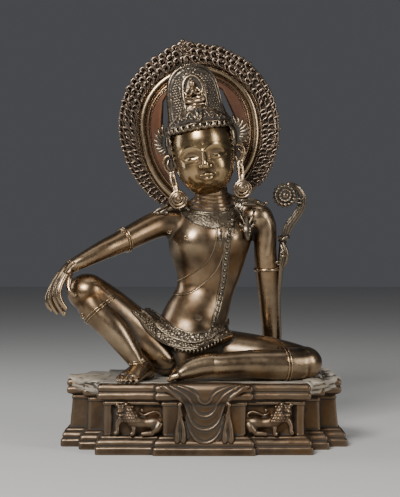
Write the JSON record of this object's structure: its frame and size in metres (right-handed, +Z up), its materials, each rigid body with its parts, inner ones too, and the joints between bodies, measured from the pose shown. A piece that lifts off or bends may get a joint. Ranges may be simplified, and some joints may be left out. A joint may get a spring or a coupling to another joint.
{
  "type": "padmapani figure",
  "caption": "Cast bronze seated bodhisattva in royal ease with tall crown, lotus stem and flaming halo, on a stepped lion plinth.",
  "frame": {"origin": "middle of the plinth's underside", "axes": "+Z up, the figure faces -Y, its right hand is towards -X"},
  "size_m": [0.4244, 0.2311, 0.5895],
  "materials": {
    "figure_bronze": "dark brown bronze patina, worn to warm gold on the high places",
    "halo_bronze": "reddish brown bronze patina with grey dust between the flames",
    "plinth_bronze": "brown bronze patina, greyer and dustier on the mouldings and the seat"
  },
  "bodies": {
    "root": {"figure": "figure_bronze", "halo": "halo_bronze", "plinth": "plinth_bronze"}
  },
  "joints": []
}
